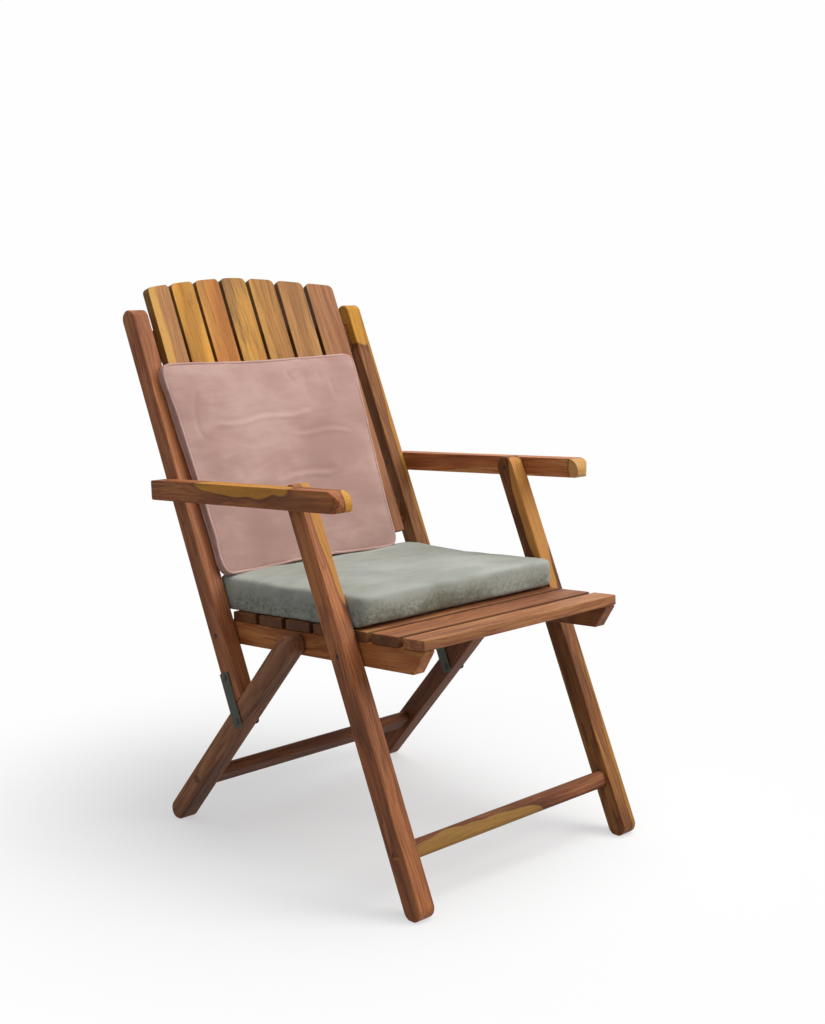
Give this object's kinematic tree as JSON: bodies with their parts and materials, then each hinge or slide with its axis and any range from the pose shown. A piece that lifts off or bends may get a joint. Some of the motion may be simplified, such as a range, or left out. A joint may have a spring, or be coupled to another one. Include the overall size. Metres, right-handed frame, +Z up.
{
  "type": "folding armchair",
  "caption": "Folding teak armchair with slatted seat, hollow slatted back, steel straps and loose velvet cushions.",
  "frame": {"origin": "on the floor under the middle of the chair's box", "axes": "+Z up, the sitter faces -Y, +X is the sitter's left"},
  "size_m": [0.6526, 0.8454, 1.0043],
  "materials": {
    "teak_frame": "oiled, worn, side grain",
    "teak_seat_slats": "oiled, worn",
    "teak_back_slats": "oiled, paler sapwood mixed in",
    "teak_armrests": "oiled, worn smooth",
    "bolt_steel": "dull, darkened",
    "strap_steel": "dull grey-green patina",
    "velvet_grey_green": "crushed velvet",
    "velvet_pink": "crushed velvet"
  },
  "bodies": {
    "seat_frame": {"seat_rail_right": "teak_frame", "seat_rail_left": "teak_frame", "seat_slat_1": "teak_seat_slats", "seat_slat_2": "teak_seat_slats", "seat_slat_3": "teak_seat_slats", "seat_slat_4": "teak_seat_slats", "seat_slat_5": "teak_seat_slats", "seat_slat_6": "teak_seat_slats", "seat_slat_7": "teak_seat_slats", "seat_cushion": "velvet_grey_green", "pivot_bolt_back_right": "bolt_steel", "pivot_bolt_back_left": "bolt_steel", "pivot_bolt_front_leg_right": "bolt_steel", "pivot_bolt_front_leg_left": "bolt_steel", "pivot_bolt_rear_leg_right": "bolt_steel", "pivot_bolt_rear_leg_left": "bolt_steel", "washer_back_right": "bolt_steel", "washer_back_left": "bolt_steel", "washer_front_leg_right": "bolt_steel", "washer_front_leg_left": "bolt_steel", "washer_rear_leg_right": "bolt_steel", "washer_rear_leg_left": "bolt_steel"},
    "back": {"back_stile_right": "teak_frame", "back_stile_left": "teak_frame", "back_slat_1": "teak_back_slats", "back_slat_2": "teak_back_slats", "back_slat_3": "teak_back_slats", "back_slat_4": "teak_back_slats", "back_slat_5": "teak_back_slats", "back_slat_6": "teak_back_slats", "back_slat_7": "teak_back_slats", "back_rail_lower": "teak_frame", "back_rail_upper": "teak_frame", "back_cushion": "velvet_pink", "strap_rivet_upper_right": "strap_steel", "strap_rivet_upper_left": "strap_steel"},
    "front_legs": {"front_leg_right": "teak_frame", "front_leg_left": "teak_frame", "front_stretcher": "teak_frame"},
    "rear_legs": {"rear_leg_right": "teak_frame", "rear_leg_left": "teak_frame", "rear_stretcher": "teak_frame"},
    "arm_right": {"armrest_right": "teak_armrests", "arm_bolt_front_right": "bolt_steel", "arm_bolt_rear_right": "bolt_steel"},
    "straps_right": {"strap_outer_right": "strap_steel", "strap_inner_right": "strap_steel", "strap_rivet_lower_outer_right": "strap_steel", "strap_rivet_lower_inner_right": "strap_steel"},
    "arm_left": {"armrest_left": "teak_armrests", "arm_bolt_front_left": "bolt_steel", "arm_bolt_rear_left": "bolt_steel"},
    "straps_left": {"strap_outer_left": "strap_steel", "strap_inner_left": "strap_steel", "strap_rivet_lower_outer_left": "strap_steel", "strap_rivet_lower_inner_left": "strap_steel"}
  },
  "joints": [
    {"name": "back_fold", "type": "hinge", "parent": "seat_frame", "child": "back", "pos_m": [0, 0.10013, 0.38024], "axis": [1, 0, 0], "range_deg": [0, 85], "deforming": ["seat_cushion", "back_cushion"]},
    {"name": "front_leg_fold", "type": "hinge", "parent": "seat_frame", "child": "front_legs", "pos_m": [0, -0.22287, 0.40608], "axis": [1, 0, 0], "range_deg": [0, 85]},
    {"name": "rear_leg_fold", "type": "hinge", "parent": "seat_frame", "child": "rear_legs", "pos_m": [0, -0.08387, 0.39496], "axis": [1, 0, 0], "range_deg": [0, 23]},
    {"name": "arm_fold_right", "type": "hinge", "parent": "front_legs", "child": "arm_right", "pos_m": [-0.3083, -0.10454, 0.65985], "axis": [1, 0, 0], "range_deg": [-85, 0]},
    {"name": "arm_fold_left", "type": "hinge", "parent": "front_legs", "child": "arm_left", "pos_m": [0.3083, -0.10454, 0.65985], "axis": [1, 0, 0], "range_deg": [-85, 0]},
    {"name": "strap_swing_right", "type": "hinge", "parent": "back", "child": "straps_right", "pos_m": [-0.272, 0.0725, 0.30797], "axis": [1, 0, 0], "range_deg": [-120.8, 0]},
    {"name": "strap_swing_left", "type": "hinge", "parent": "back", "child": "straps_left", "pos_m": [0.272, 0.0725, 0.30797], "axis": [1, 0, 0], "range_deg": [-120.8, 0]}
  ],
  "couplings": [
    {"joint": "front_leg_fold", "follows": "back_fold", "ratio": 1},
    {"joint": "rear_leg_fold", "follows": "back_fold", "ratio": 0.27},
    {"joint": "arm_fold_right", "follows": "back_fold", "ratio": -1},
    {"joint": "arm_fold_left", "follows": "back_fold", "ratio": -1},
    {"joint": "strap_swing_right", "follows": "back_fold", "ratio": -1.42},
    {"joint": "strap_swing_left", "follows": "back_fold", "ratio": -1.42}
  ]
}
